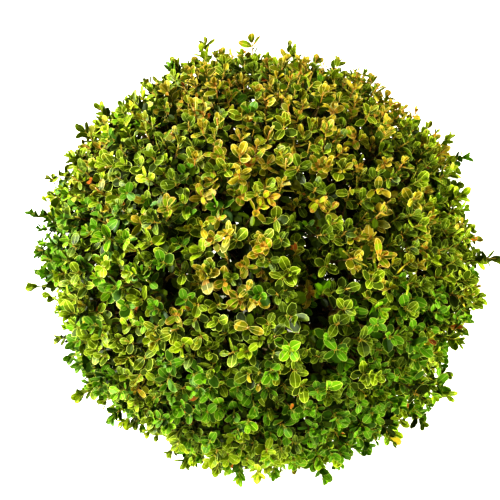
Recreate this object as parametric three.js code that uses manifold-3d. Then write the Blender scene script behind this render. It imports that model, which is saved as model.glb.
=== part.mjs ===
// Box topiary ball: a common box shrub clipped to a ball on one short stem.
// Millimetres, +Z up, front towards -Y. The origin is the middle of the flat
// cut under the stem, at ground level.

import * as THREE from "three";
import { mergeVertices } from "three/addons/utils/BufferGeometryUtils.js";
import Module from "manifold-3d";

const wasm = await Module();
wasm.setup();

const RAD = Math.PI / 180;
const TOUCH_GAP = 0.3; // left between neighbouring solids

// The clipped ball, as half its width, depth and height.
const BALL_CENTRE = new THREE.Vector3(0, 0, 234);
const BALL_HALF = new THREE.Vector3(246, 239, 229);
const BALL_DETAIL = 14;
const LEAF_RELIEF = 3.6; // small unevenness left by single leaves

// Broad swellings and dips that the shears leave: azimuth and elevation in
// degrees, rise in mm, spread in degrees.
const swellings = [
  [131, 42, 7, 9],
  [178, 17, 6, 11],
  [-36, 0, 8, 6],
  [-17, 10, 7, 7],
  [38, 38, 6, 8],
  [86, 47, 4, 8],
  [-98, -12, 4, 9],
  [-70, 72, 4, 16],
  [-158, 7, -10, 5],
  [-28, 4, -7, 4],
  [66, 44, -4, 9],
  [24, 32, -4, 8],
  [10, 70, -5, 15],
];

// Tufts no wider than a hand, all over the ball.
const TUFT_COUNT = 420;
const TUFT_RISE = 6.5;
const TUFT_SPREAD = { least: 3.2, most: 6 };

// Shoots that have grown past the clipped face since the last cut: azimuth and
// elevation in degrees, and how far each tip stands out in mm.
const strays = [
  [96, 47, 24], [86, 47, 15], [115, 45, 18], [125, 43, 13],
  [158, 32, 15], [164, 28, 14], [181, 19, 12], [189, 15, 10],
  [200, 8, 8], [206, 5, 9], [-106, -12, 9], [-98, -13, 13],
  [-86, -13, 11], [-75, -12, 13], [-46, -5, 12], [-38, -1, 20],
  [-34, 2, 12], [-17, 10, 14], [4, 22, 8], [34, 37, 22], [40, 39, 11],
];
const MORE_STRAYS = 19; // on the rest of the ball
const MORE_REACH = { least: 7, most: 14 };
const STRAY_SPACING = 19; // degrees between neighbours, at least
const STRAY_ROOT = 16; // how deep a stray shoot starts under the face
const STRAY_RADIUS = { base: 10.5, tip: 2.5 };
const STRAY_SIDES = 5;
const STRAY_LIFT = 0.3; // how much it turns up towards the light

// The bare bowl under the crown, round the stem and its fork, where no leaf
// gets any light. Its centre is above the ground and its rim is the crown's.
const BOWL_CENTRE = new THREE.Vector3(0, 0, 55);
const BOWL_HALF = new THREE.Vector3(97, 94, 112);
const BOWL_DETAIL = 6;
const BOWL_RELIEF = 2.5;

// The stem, from the flared foot to where the leader takes over.
const STEM_PROFILE = [
  [27, 0], [25.4, 4], [22, 11], [19.2, 20], [17.6, 30],
  [16.8, 42], [16.4, 56], [15.4, 70], [13.8, 84], [12, 96],
];
const STEM_SEGMENTS = 22;
const STEM_LEAN = new THREE.Vector2(5, -3); // of the top, from the foot
const ROOT_RIDGES = { count: 5, rise: 0.17, fade: 15, turn: 0.7 };

// Boughs: where each leaves the stem, the way its end lies from the bowl's
// centre, its radius at both ends, and how far it bows sideways.
const boughs = [
  { name: "bough_leader", height: 91, azimuth: 60, elevation: 85, base: 10.2, tip: 8.4, bow: 2 },
  { name: "bough_upper_1", height: 70, azimuth: 25, elevation: 47, base: 7.8, tip: 6.3, bow: -4 },
  { name: "bough_upper_2", height: 73, azimuth: 148, elevation: 50, base: 7.5, tip: 6.1, bow: 4 },
  { name: "bough_upper_3", height: 68, azimuth: 266, elevation: 45, base: 7.9, tip: 6.4, bow: 4 },
  { name: "bough_lower_1", height: 43, azimuth: -32, elevation: 16, base: 8.0, tip: 6.3, bow: 5 },
  { name: "bough_lower_2", height: 46, azimuth: 84, elevation: 20, base: 7.7, tip: 6.1, bow: -5 },
  { name: "bough_lower_3", height: 41, azimuth: 172, elevation: 14, base: 7.9, tip: 6.2, bow: -4 },
  { name: "bough_lower_4", height: 45, azimuth: 228, elevation: 18, base: 7.6, tip: 6.1, bow: 4 },
];
const BOUGH_SIDES = 8;
const BOUGH_RINGS = 8;
const BOUGH_OVERRUN = 14; // drawn into the foliage, then cut off at its face
const BOUGH_KNOTS = 0.07;

const LEAF_GREEN = 0x55752c;
const STEM_BARK = 0x7a6c56;
const BOUGH_BARK = 0x8b7c5c;

/** A repeatable run of numbers from 0 to 1. */
function seeded(seed) {
  let state = seed;
  return () => {
    state = (state + 0x6d2b79f5) | 0;
    let mixed = Math.imul(state ^ (state >>> 15), 1 | state);
    mixed = (mixed + Math.imul(mixed ^ (mixed >>> 7), 61 | mixed)) ^ mixed;
    return ((mixed ^ (mixed >>> 14)) >>> 0) / 4294967296;
  };
}

/** The unit vector at an azimuth and elevation in degrees. */
function heading(azimuth, elevation) {
  const level = Math.cos(elevation * RAD);
  return new THREE.Vector3(
    level * Math.cos(azimuth * RAD),
    level * Math.sin(azimuth * RAD),
    Math.sin(elevation * RAD),
  );
}

/** A heading picked evenly over the sphere. */
function anyHeading(random) {
  const elevation = Math.asin(2 * random() - 1) / RAD;
  return heading(360 * random(), elevation);
}

/** How far an ellipsoid with these half sizes reaches along a unit vector. */
function ellipsoidReach(direction, half) {
  return 1 / direction.clone().divide(half).length();
}

/** A closed three.js geometry as a solid, without its seams and flat faces. */
function solidOf(geometry) {
  const bare = geometry.clone();
  for (const name of Object.keys(bare.attributes)) {
    if (name !== "position") bare.deleteAttribute(name);
  }
  const merged = mergeVertices(bare, 1e-3);
  const corners = [];
  const index = merged.index.array;
  for (let i = 0; i < index.length; i += 3) {
    const [a, b, c] = [index[i], index[i + 1], index[i + 2]];
    if (a !== b && b !== c && c !== a) corners.push(a, b, c);
  }
  return new wasm.Manifold(new wasm.Mesh({
    numProp: 3,
    vertProperties: new Float32Array(merged.attributes.position.array),
    triVerts: new Uint32Array(corners),
  }));
}

/** Moves each vertex of a geometry to where place() puts it. */
function reshape(geometry, place) {
  const position = geometry.attributes.position;
  const point = new THREE.Vector3();
  for (let i = 0; i < position.count; i += 1) {
    point.fromBufferAttribute(position, i);
    place(point);
    position.setXYZ(i, point.x, point.y, point.z);
  }
  return geometry;
}

/** A round body whose reach from its centre is given for each heading. */
function roundBody(centre, detail, reachOf) {
  const sphere = mergeVertices(positionsOnly(new THREE.IcosahedronGeometry(1, detail)));
  return solidOf(reshape(sphere, (point) => {
    const direction = point.clone().normalize();
    point.copy(direction).multiplyScalar(reachOf(direction)).add(centre);
  }));
}

function positionsOnly(geometry) {
  geometry.deleteAttribute("normal");
  geometry.deleteAttribute("uv");
  return geometry;
}

/** The rise of a set of soft bumps at a heading. */
function bumpRise(direction, bumps) {
  let rise = 0;
  for (const bump of bumps) {
    const angle = direction.angleTo(bump.direction) / RAD;
    rise += bump.rise * Math.exp(-0.5 * (angle / bump.spread) ** 2);
  }
  return rise;
}

// ---------------------------------------------------------------- the ball

const tuftRandom = seeded(11);
const bumps = swellings.map(([azimuth, elevation, rise, spread]) => (
  { direction: heading(azimuth, elevation), rise, spread }
));
for (let i = 0; i < TUFT_COUNT; i += 1) {
  bumps.push({
    direction: anyHeading(tuftRandom),
    rise: TUFT_RISE * (2 * tuftRandom() - 1),
    spread: THREE.MathUtils.lerp(TUFT_SPREAD.least, TUFT_SPREAD.most, tuftRandom()),
  });
}

/** How far the clipped face lies from the ball's centre. */
function faceReach(direction) {
  return ellipsoidReach(direction, BALL_HALF) + bumpRise(direction, bumps);
}

const leafRandom = seeded(23);
let ball = roundBody(BALL_CENTRE, BALL_DETAIL, (direction) => (
  faceReach(direction) + LEAF_RELIEF * (2 * leafRandom() - 1)
));

// ---------------------------------------------------------- stray shoots

const strayRandom = seeded(37);
const shoots = strays.map(([azimuth, elevation, reach]) => (
  { direction: heading(azimuth, elevation), reach }
));
while (shoots.length < strays.length + MORE_STRAYS) {
  const direction = anyHeading(strayRandom);
  const reach = THREE.MathUtils.lerp(MORE_REACH.least, MORE_REACH.most, strayRandom());
  const clear = shoots.every((shoot) => (
    direction.angleTo(shoot.direction) > STRAY_SPACING * RAD
  ));
  if (clear && direction.z > -0.3) shoots.push({ direction, reach });
}

const UP = new THREE.Vector3(0, 0, 1);
const ALONG_Y = new THREE.Vector3(0, 1, 0);

for (const { direction, reach } of shoots) {
  const face = faceReach(direction);
  const foot = direction.clone().multiplyScalar(face - STRAY_ROOT)
    .addScaledVector(UP, -STRAY_LIFT * STRAY_ROOT).add(BALL_CENTRE);
  const tip = direction.clone().multiplyScalar(face + reach).add(BALL_CENTRE);
  const length = foot.distanceTo(tip);
  const cone = new THREE.CylinderGeometry(STRAY_RADIUS.tip, STRAY_RADIUS.base, length, STRAY_SIDES);
  const turn = new THREE.Quaternion()
    .setFromUnitVectors(ALONG_Y, tip.clone().sub(foot).normalize());
  cone.translate(0, length / 2, 0).applyQuaternion(turn).translate(foot.x, foot.y, foot.z);
  ball = ball.add(solidOf(cone));
}

// ---------------------------------------------------------------- the bowl

/** The bare space under the crown, drawn in by an inset from the foliage. */
function bowlSpace(inset) {
  const random = seeded(41);
  return roundBody(BOWL_CENTRE, BOWL_DETAIL, (direction) => (
    ellipsoidReach(direction, BOWL_HALF) + BOWL_RELIEF * (2 * random() - 1) - inset
  ));
}

const foliage = ball.subtract(bowlSpace(0));

// ---------------------------------------------------------------- the stem

const stemTop = STEM_PROFILE.at(-1)[1];

/** The stem's centre line at a height: it leans more the higher it is. */
function stemAxis(height) {
  const share = Math.max(height, 0) / stemTop;
  return new THREE.Vector3(
    STEM_LEAN.x * share ** 1.4,
    STEM_LEAN.y * share ** 1.4,
    height,
  );
}

/** The stem, grown by a margin on its sides and top. */
function stemSolid(margin) {
  const outline = STEM_PROFILE.map(([radius, height]) => (
    new THREE.Vector2(radius + margin, height)
  ));
  outline.unshift(new THREE.Vector2(0, 0));
  outline.push(new THREE.Vector2(0, stemTop + margin));
  outline.at(-2).y += margin;
  const body = new THREE.LatheGeometry(outline, STEM_SEGMENTS);
  body.rotateX(Math.PI / 2);
  return solidOf(reshape(body, (point) => {
    const angle = Math.atan2(point.y, point.x);
    const ridge = Math.cos(ROOT_RIDGES.count * angle + ROOT_RIDGES.turn);
    const swell = 1 + ROOT_RIDGES.rise * ridge * Math.exp(-point.z / ROOT_RIDGES.fade);
    const axis = stemAxis(point.z);
    point.x = point.x * swell + axis.x;
    point.y = point.y * swell + axis.y;
  }));
}

// --------------------------------------------------------------- the boughs

/** A bough's centre line, from inside the stem to just inside the foliage. */
function boughLine({ height, azimuth, elevation, bow }) {
  const start = stemAxis(height);
  const direction = heading(azimuth, elevation);
  const reach = ellipsoidReach(direction, BOWL_HALF) + BOUGH_OVERRUN;
  const end = direction.clone().multiplyScalar(reach).add(BOWL_CENTRE);
  const out = heading(azimuth, 0);
  const across = heading(azimuth + 90, 0);
  const span = end.clone().sub(start);
  const turn = start.clone()
    .addScaledVector(out, 0.58 * span.dot(out))
    .addScaledVector(UP, 0.4 * span.z)
    .addScaledVector(across, bow);
  const arc = new THREE.QuadraticBezierCurve3(start, turn, end);
  const points = arc.getPoints(5);
  points.forEach((point, i) => {
    if (i > 1 && i < 5) point.addScaledVector(across, 0.3 * bow * Math.cos(2.4 * i));
  });
  return new THREE.CatmullRomCurve3(points);
}

/** A tapering limb round a centre line, with slight swellings at its knots. */
function limbSolid(line, base, tip) {
  const frames = line.computeFrenetFrames(BOUGH_RINGS);
  const limb = new THREE.CylinderGeometry(1, 1, 1, BOUGH_SIDES, BOUGH_RINGS);
  return solidOf(reshape(limb, (point) => {
    const ring = Math.round((point.y + 0.5) * BOUGH_RINGS);
    const share = ring / BOUGH_RINGS;
    const taper = THREE.MathUtils.lerp(base, tip, share ** 0.8);
    const radius = taper * (1 + BOUGH_KNOTS * Math.sin(1.9 * ring));
    const { x, z } = point;
    point.copy(line.getPointAt(share))
      .addScaledVector(frames.normals[ring], x * radius)
      .addScaledVector(frames.binormals[ring], -z * radius);
  }));
}

const bareSpace = bowlSpace(TOUCH_GAP);
const stemClearance = stemSolid(TOUCH_GAP);

// ------------------------------------------------------------- the assembly

const shrub = new THREE.Group();
shrub.name = "box_topiary_ball";

/** Adds a solid to the shrub as one named mesh. */
function addNode(name, solid, colour, roughness) {
  const { vertProperties, triVerts } = solid.getMesh();
  const geometry = new THREE.BufferGeometry();
  geometry.setAttribute("position", new THREE.BufferAttribute(vertProperties, 3));
  geometry.setIndex(new THREE.BufferAttribute(triVerts, 1));
  geometry.computeVertexNormals();
  const material = new THREE.MeshStandardMaterial({
    color: colour,
    roughness,
    metalness: 0,
    flatShading: true,
  });
  const mesh = new THREE.Mesh(geometry, material);
  mesh.name = name;
  shrub.add(mesh);
}

addNode("stem", stemSolid(0), STEM_BARK, 0.9);
for (const bough of boughs) {
  const limb = limbSolid(boughLine(bough), bough.base, bough.tip);
  const cut = limb.subtract(stemClearance).intersect(bareSpace);
  addNode(bough.name, cut, BOUGH_BARK, 0.85);
}
addNode("foliage_ball", foliage, LEAF_GREEN, 0.7);

export default shrub;
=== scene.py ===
# %% [markdown]
# # A box topiary ball
# A clipped box ball is one short woody plant. A stem forks just above the ground
# into boughs, the boughs fork into branches and twigs, and only the outer hand's
# breadth carries leaves, because no light gets further in. The shears cut every
# twig at the same height, each cut twig answers with two or three new shoots, and
# after some years the face is a dense, uneven skin of small leaf rosettes.
#
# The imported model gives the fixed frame: the stem, the boughs, and one solid for
# the clipped mass of leaves. This script puts the real plant around that frame.

import math

import bpy
import numpy as np
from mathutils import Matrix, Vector, kdtree, noise
from mathutils.bvhtree import BVHTree


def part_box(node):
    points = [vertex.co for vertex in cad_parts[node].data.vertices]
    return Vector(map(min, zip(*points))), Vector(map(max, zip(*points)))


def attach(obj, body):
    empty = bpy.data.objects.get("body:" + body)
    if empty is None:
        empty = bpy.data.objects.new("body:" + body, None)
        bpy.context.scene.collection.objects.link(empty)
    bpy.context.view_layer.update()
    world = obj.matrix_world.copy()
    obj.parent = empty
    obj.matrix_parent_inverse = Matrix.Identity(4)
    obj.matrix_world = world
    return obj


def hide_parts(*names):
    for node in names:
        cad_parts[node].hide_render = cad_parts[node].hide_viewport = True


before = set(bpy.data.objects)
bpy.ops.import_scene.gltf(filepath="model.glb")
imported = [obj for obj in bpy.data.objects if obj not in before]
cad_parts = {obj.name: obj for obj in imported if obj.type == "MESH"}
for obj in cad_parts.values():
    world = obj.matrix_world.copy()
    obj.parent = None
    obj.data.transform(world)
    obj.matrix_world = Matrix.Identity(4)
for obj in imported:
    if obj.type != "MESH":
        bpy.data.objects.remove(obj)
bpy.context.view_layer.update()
MM = 0.001
print("nodes:", sorted(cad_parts))

# %% [markdown]
# ## Camera
# The ball is seen from a step ladder: from the front, and about 60 degrees above
# the ground, close enough for the near leaves to look a third larger than those
# on the outline. A lens of about 48 mm gives that.

# %% Camera
BALL_CENTRE = Vector((0, 0, 0.234))
VIEW_ELEVATION = math.radians(60)
VIEW_DISTANCE = 0.790
LENS_MM = 48
TO_CAMERA = Vector((0, -math.cos(VIEW_ELEVATION), math.sin(VIEW_ELEVATION)))
VIEW_RIGHT = Vector((1, 0, 0))
VIEW_UP = TO_CAMERA.cross(VIEW_RIGHT)
AIM_RIGHT = -0.0142  # where the camera points, in metres off the ball's centre
AIM_UP = 0.0097


def point_at(thing, target):
    """Turns a camera or light so that it looks at a point."""
    thing.rotation_euler = (target - thing.location).to_track_quat("-Z", "Y").to_euler()


camera = bpy.data.objects.new("camera", bpy.data.cameras.new("camera"))
camera.data.lens = LENS_MM
camera.data.sensor_width = 36  # mm, so that the lens reads like a full-frame one
camera.data.clip_start = 0.01
camera.location = BALL_CENTRE + TO_CAMERA * VIEW_DISTANCE
bpy.context.collection.objects.link(camera)
point_at(camera, BALL_CENTRE + VIEW_RIGHT * AIM_RIGHT + VIEW_UP * AIM_UP)
bpy.context.scene.camera = camera
print("camera at", [round(v, 3) for v in camera.location])

# %% [markdown]
# ## Light and floor
# Box leaves are waxy, so they need one clear light that gives them a sparkle, and
# a broad pale surround that fills the shade between them. A surround that the wax
# mirrored would turn every leaf grey, so a Light Path node dims it for glossy rays,
# and only the key lamp is mirrored. The floor is a pale table that glows a little, so
# that light also comes up through the lower leaves.

# %% Colours and nodes


def linear(hex_code):
    """An sRGB colour such as "8aac1e" as the linear numbers Blender works in."""
    parts = [int(hex_code[i : i + 2], 16) / 255 for i in (0, 2, 4)]
    return [p / 12.92 if p <= 0.04045 else ((p + 0.055) / 1.055) ** 2.4 for p in parts] + [1]


def add_node(tree, kind, settings=None, **links):
    """A node with its settings, its input values and its links."""
    node = tree.nodes.new("ShaderNode" + kind)
    for name, value in (settings or {}).items():
        if name in node.inputs:
            node.inputs[name].default_value = value
        else:
            setattr(node, name, value)
    for name, source in links.items():
        tree.links.new(source, node.inputs[name.replace("_", " ")])
    return node


def new_material(name):
    """An empty material and its node tree."""
    material = bpy.data.materials.new(name)
    material.use_nodes = True
    material.node_tree.nodes.clear()
    return material, material.node_tree


def finish_material(tree, shader):
    """Links a shader to the material's surface."""
    add_node(tree, "OutputMaterial", Surface=shader.outputs[0])


# %% Lights
# name, how far towards the camera, right and up it stands, its distance and the side
# of its square in metres, its power in watts, and whether the wax mirrors it
LAMPS = [
    ("key_light", (0.48, -0.60, 0.22), 1.5, 0.42, 56, True),
    ("fill_light", (0.45, 0.06, -0.80), 1.6, 0.7, 31, False),
    ("edge_light", (0.20, 0.85, 0.03), 1.5, 0.8, 76, False),
    ("side_light", (0.10, -0.75, 0.50), 1.5, 0.8, 20, False),
]
SKY_STRENGTH = 0.60
SKY_MIRRORED = 0.03  # what a waxy leaf mirrors of it
BACKDROP_STRENGTH = 0.95
WARM_WHITE = "fffde2"
BACKDROP_WHITE = "fbfbff"


def area_light(name, direction, distance, size, power, mirrored):
    """A square lamp that shines on the ball from a direction."""
    lamp = bpy.data.lights.new(name, "AREA")
    lamp.size = size
    lamp.energy = power
    if not mirrored:
        lamp.color = linear(WARM_WHITE)[:3]
    holder = bpy.data.objects.new(name, lamp)
    holder.location = BALL_CENTRE + direction.normalized() * distance
    holder.visible_glossy = mirrored
    bpy.context.collection.objects.link(holder)
    point_at(holder, BALL_CENTRE)


for name, (near, right, up), distance, size, power, mirrored in LAMPS:
    direction = TO_CAMERA * near + VIEW_RIGHT * right + VIEW_UP * up
    area_light(name, direction, distance, size, power, mirrored)
print(len(LAMPS), "lamps")

# %% Pale surround
world = bpy.data.worlds.new("pale_surround")
bpy.context.scene.world = world
world.use_nodes = True
tree = world.node_tree
tree.nodes.clear()
ray = add_node(tree, "LightPath")
ambient = add_node(
    tree,
    "MapRange",
    {"To Min": SKY_STRENGTH, "To Max": SKY_MIRRORED},
    Value=ray.outputs["Is Glossy Ray"],
)
strength = add_node(
    tree,
    "MapRange",
    {"To Max": BACKDROP_STRENGTH},
    Value=ray.outputs["Is Camera Ray"],
    To_Min=ambient.outputs["Result"],
)
tint = add_node(tree, "Mix", {"data_type": "RGBA"}, Factor=ray.outputs["Is Camera Ray"])
tint.inputs[6].default_value = linear(WARM_WHITE)
tint.inputs[7].default_value = linear(BACKDROP_WHITE)
sky = add_node(tree, "Background", Color=tint.outputs[2], Strength=strength.outputs[0])
add_node(tree, "OutputWorld", Surface=sky.outputs[0])
bpy.context.scene.view_settings.view_transform = "Standard"
bpy.context.scene.view_settings.look = "Medium High Contrast"
print("surround", SKY_STRENGTH, "in the shade,", SKY_MIRRORED, "in the wax")

# %% Floor
FLOOR_GLOW = 0.7
GLOW_STARTS = 0.10  # metres from the stem, so that the ball still has a soft shadow
GLOW_FULL = 0.20
bpy.ops.object.select_all(action="DESELECT")
bpy.ops.mesh.primitive_plane_add(size=8, location=(0, 0, 0))
floor = bpy.context.object
floor.name = "floor"
floor.visible_glossy = False
floor_material, tree = new_material("matt_white_glowing_table")
place = add_node(tree, "TexCoord")
from_stem = add_node(tree, "VectorMath", {"operation": "LENGTH"}, Vector=place.outputs["Object"])
glow = add_node(
    tree,
    "MapRange",
    {
        "interpolation_type": "SMOOTHSTEP",
        "From Min": GLOW_STARTS,
        "From Max": GLOW_FULL,
        "To Max": FLOOR_GLOW,
    },
    Value=from_stem.outputs["Value"],
)
shader = add_node(
    tree,
    "BsdfPrincipled",
    {
        "Base Color": linear("f4f4f4"),
        "Roughness": 0.9,
        "Specular IOR Level": 0.0,
        "Emission Color": linear("ffffff"),
    },
    Emission_Strength=glow.outputs["Result"],
)
finish_material(tree, shader)
floor.data.materials.append(floor_material)
print("floor glows from", GLOW_STARTS, "m out")

# %% [markdown]
# ## Leaf finishes
# A box leaf is leathery and waxed: deep green when old, lime when new, and yellow,
# orange or bronze where the plant is dry or cold. Its margin and its midrib are
# paler than its blade, and the pale margin is also a painted highlight, its rolled
# edge catching the light. Every leaf of a spray has nearly the same colour, so each
# finish is one plain colour, and the sprays are dealt out over the ball.

# %% Leaf finishes
BLADES = {
    # the darkest, for leaves of shade shoots: partly the darker green of leaves deep in a box, partly
    # painted shade that keeps the gaps in the face dark
    "inner": "131a01",
    "deep": "263202",
    "shade": "3b4c02",
    "mid": "536403",
    "fresh": "698004",
    "bright": "829608",
    "lime": "95a714",
    "forest": "2b4803",
    "leafy": "436d04",
    "spring": "5f8c07",
    "olive": "5f6203",
    "khaki": "79700a",
    "yellow": "978418",
    "gold": "98731d",
    "orange": "a35a1c",
    "russet": "7a381d",
}
# finishes of margins, midribs and stalks: a margin's pale colour is partly the leaf's own and partly a
# painted highlight, its rolled edge catching the light
RIMS = {
    "rim_lime": "b2bf48",
    "rim_pale": "beb65c",
    "rim_gold": "c1a250",
    "rim_dark": "82943a",
    "stalk": "c79637",
}
BLADE_NAMES = list(BLADES)
RIM_NAMES = list(RIMS)
WAX_IOR = 1.45
BLADE_ROUGHNESS = 0.46
BLADE_GLOSS = 0.16
RIM_ROUGHNESS = 0.5
RIM_GLOSS = 0.3


def waxed_leaf(name, hex_code, roughness, gloss):
    """A leaf's skin: a plain colour under a thin natural wax."""
    material, tree = new_material(name)
    shader = add_node(
        tree,
        "BsdfPrincipled",
        {
            "Base Color": linear(hex_code),
            "Roughness": roughness,
            "IOR": WAX_IOR,
            "Specular IOR Level": gloss,
        },
    )
    finish_material(tree, shader)
    material.diffuse_color = linear(hex_code)
    return material


leaf_materials = [waxed_leaf("leaf_" + n, h, BLADE_ROUGHNESS, BLADE_GLOSS) for n, h in BLADES.items()]
leaf_materials += [waxed_leaf("leaf_" + n, h, RIM_ROUGHNESS, RIM_GLOSS) for n, h in RIMS.items()]
print(len(leaf_materials), "leaf finishes")

# %% [markdown]
# ## Bark finishes
# Old box bark is grey-tan, finely fissured along the limb and corky between the
# cracks, so a stretched noise colours and dents it. Branches are smoother and
# browner, and this year's shoots are green to gold: both are too thin for a pattern
# to show, and have one plain colour each.

# %% Bark finishes
BARK_GLOSS = 0.3
BLOTCH_SCALE = 55  # pale and dark blotches about 18 mm across
OLD_BARK, GREEN_BARK, GOLD_BARK, ORANGE_BARK, CUT_WOOD = range(5)  # on shoots


def fissured_bark(name, dark, light, fissure_mm, stretch):
    """Bark with cracks along the limb, a fissure's width apart across it."""
    material, tree = new_material(name)
    place = add_node(tree, "TexCoord")
    squeeze = add_node(tree, "Mapping", {"Scale": (1, 1, 1 / stretch)}, Vector=place.outputs["Object"])
    cracks = add_node(
        tree,
        "TexNoise",
        {"Scale": 1 / (fissure_mm * MM), "Detail": 5, "Roughness": 0.62},
        Vector=squeeze.outputs[0],
    )
    blotches = add_node(
        tree,
        "TexNoise",
        {"Scale": BLOTCH_SCALE, "Detail": 3},
        Vector=place.outputs["Object"],
    )
    tones = add_node(tree, "ValToRGB", Fac=cracks.outputs["Fac"])
    tones.color_ramp.elements[0].position = 0.36
    tones.color_ramp.elements[0].color = linear(dark)
    tones.color_ramp.elements[1].position = 0.62
    tones.color_ramp.elements[1].color = linear(light)
    aged = add_node(
        tree,
        "Mix",
        {"data_type": "RGBA", "blend_type": "MULTIPLY"},
        Factor=blotches.outputs["Fac"],
    )
    tree.links.new(tones.outputs["Color"], aged.inputs[6])
    aged.inputs[7].default_value = linear("a9a18c")
    bump = add_node(tree, "Bump", {"Strength": 0.6, "Distance": 0.6 * MM}, Height=cracks.outputs["Fac"])
    shader = add_node(
        tree,
        "BsdfPrincipled",
        {"Roughness": 0.82, "Specular IOR Level": BARK_GLOSS},
        Base_Color=aged.outputs[2],
        Normal=bump.outputs["Normal"],
    )
    finish_material(tree, shader)
    return material


def plain_bark(name, hex_code, roughness):
    """Young bark on wood too thin for a pattern to show."""
    return waxed_leaf(name, hex_code, roughness, BARK_GLOSS)


# %% Barks
stem_bark = fissured_bark("grey_tan_fissured_bark", "4b3d2c", "a39379", 2.4, 5)
bough_bark = fissured_bark("tan_bough_bark", "5d4a32", "b09a72", 1.8, 4)
branch_bark = plain_bark("brown_branch_bark", "6f5433", 0.75)
twig_bark = plain_bark("tan_twig_bark", "8a7434", 0.6)
shoot_bark = [
    plain_bark("brown_shoot_bark", "4e3e1e", 0.65),
    plain_bark("green_shoot_bark", "7f8426", 0.5),
    plain_bark("gold_shoot_bark", "9c8432", 0.5),
    plain_bark("orange_shoot_bark", "9a6e28", 0.55),
    plain_bark("pale_cut_wood", "c9ae80", 0.7),
]
print(2 + len(shoot_bark), "plain barks")

# %% [markdown]
# ## The pattern leaves
# One leaf is modelled flat, as cut from paper: a disc pulled into an ellipse, an
# inset for the pale margin, and cuts along the midrib. It is then bent into the
# forms that box leaves take. Each form is made once and copied thousands of times,
# so it has only a few dozen faces.

# %% Flat leaves
LEAF_WIDTH = 0.76  # of its length, before the base is drawn in
RIM_WIDTH = 0.029
MIDRIB_HALF = 0.017
HEEL_ENDS = 0.38  # along the leaf, from its stalk
TIP_STARTS = 0.7
STALK_ENDS = 0.12
BLADE, RIM, MIDRIB, TIP, STALK, HEEL = range(6)


def pattern_leaf(name, sides, rim, rib, cross_cuts):
    """A flat leaf one unit long from its stalk at the origin, as arrays."""
    bpy.ops.object.select_all(action="DESELECT")
    bpy.ops.mesh.primitive_circle_add(
        vertices=sides, radius=0.5, fill_type="NGON", location=(0.5, 0, 0)
    )
    leaf = bpy.context.object
    leaf.name = name
    leaf.data.materials.append(leaf_materials[0])
    leaf.data.materials.append(leaf_materials[1])
    bpy.ops.object.transform_apply(location=True, rotation=True, scale=True)
    bpy.ops.object.mode_set(mode="EDIT")
    bpy.ops.mesh.select_all(action="SELECT")
    bpy.ops.transform.resize(value=(1, LEAF_WIDTH, 1))
    leaf.active_material_index = 1
    bpy.ops.object.material_slot_assign()
    if rim:
        bpy.ops.mesh.inset(thickness=RIM_WIDTH)
    leaf.active_material_index = 0
    bpy.ops.object.material_slot_assign()

    def cut_blade(place, direction):
        """One straight cut through the blade, but not through its margin."""
        bpy.ops.mesh.select_all(action="DESELECT")
        leaf.active_material_index = 0
        bpy.ops.object.material_slot_select()
        bpy.ops.mesh.bisect(plane_co=place, plane_no=direction, use_fill=False)

    for side in (MIDRIB_HALF, -MIDRIB_HALF) if rib else (0,):
        cut_blade((0, side, 0), (0, 1, 0))
    for place in cross_cuts:
        cut_blade((place, 0, 0), (1, 0, 0))
    bpy.ops.mesh.select_all(action="SELECT")
    bpy.ops.mesh.quads_convert_to_tris()
    bpy.ops.object.mode_set(mode="OBJECT")
    points = np.array([v.co for v in leaf.data.vertices])
    triangles = np.array([p.vertices[:] for p in leaf.data.polygons])
    zone = np.array([p.material_index for p in leaf.data.polygons])
    bpy.data.objects.remove(leaf)
    middle = points[triangles].mean(1)
    in_blade = zone == BLADE
    if rib:
        zone[in_blade & (middle[:, 0] > TIP_STARTS)] = TIP
        zone[in_blade & (middle[:, 0] < HEEL_ENDS)] = HEEL
        zone[in_blade & (np.abs(middle[:, 1]) < MIDRIB_HALF)] = MIDRIB
    zone[(zone == RIM) & (middle[:, 0] < STALK_ENDS)] = STALK
    # the two halves get points of their own, so that the midrib is a sharp fold
    half = np.where(zone == MIDRIB, 0, np.sign(middle[:, 1])).astype(int)
    keys, folded = np.unique(
        np.stack([triangles.ravel(), np.repeat(half, 3)], 1), axis=0, return_inverse=True
    )
    points = points[keys[:, 0]]
    triangles = folded.reshape(-1, 3)
    print(name, len(triangles), "triangles, zones", np.bincount(zone, minlength=6))
    return points, triangles, zone


# %% Three grades of pattern leaf
fine_leaf = pattern_leaf("fine_leaf", 12, True, True, (HEEL_ENDS, TIP_STARTS))
plain_leaf = pattern_leaf("plain_leaf", 8, True, False, ())
hidden_leaf = pattern_leaf("hidden_leaf", 8, False, False, ())

# %% Leaf forms
# Each form: how steeply the blade's halves rise from the midrib, how hard the margins
# roll back, how far the tip bends, how much the blade twists, and how pointed it is.
FORMS = {
    "domed": (0.46, 0.54, -0.16, 0.0, 0.06),
    "arched": (0.34, 0.36, -0.32, 0.12, 0.20),
    "spoon": (0.14, -0.42, 0.18, -0.06, 0.06),
    "folded": (0.74, 0.14, 0.04, 0.14, 0.32),
    "wavy": (0.30, 0.46, -0.22, -0.38, 0.20),
}


def bent_leaf(flat, lift, roll, tip_bend, twist, point):
    """A flat leaf bent to one form: narrow at its stalk, widest past its middle."""
    points = flat[0].copy()
    along = points[:, 0]
    across = points[:, 1] * (0.52 + 0.80 * along - 0.34 * along**2)
    across *= 1 - point * along**3
    share = np.abs(across) / (0.5 * LEAF_WIDTH)
    points[:, 1] = across
    height = 0.5 * LEAF_WIDTH * (lift * share - roll * share**2)
    height += tip_bend * along**2
    height += twist * across * along
    points[:, 2] = height
    return points, flat[1], flat[2]


leaf_forms = {
    grade: [bent_leaf(flat, *bend) for bend in FORMS.values()]
    for grade, flat in (("fine", fine_leaf), ("plain", plain_leaf), ("hidden", hidden_leaf))
}
print(len(FORMS), "forms in", len(leaf_forms), "grades of detail")

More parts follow.
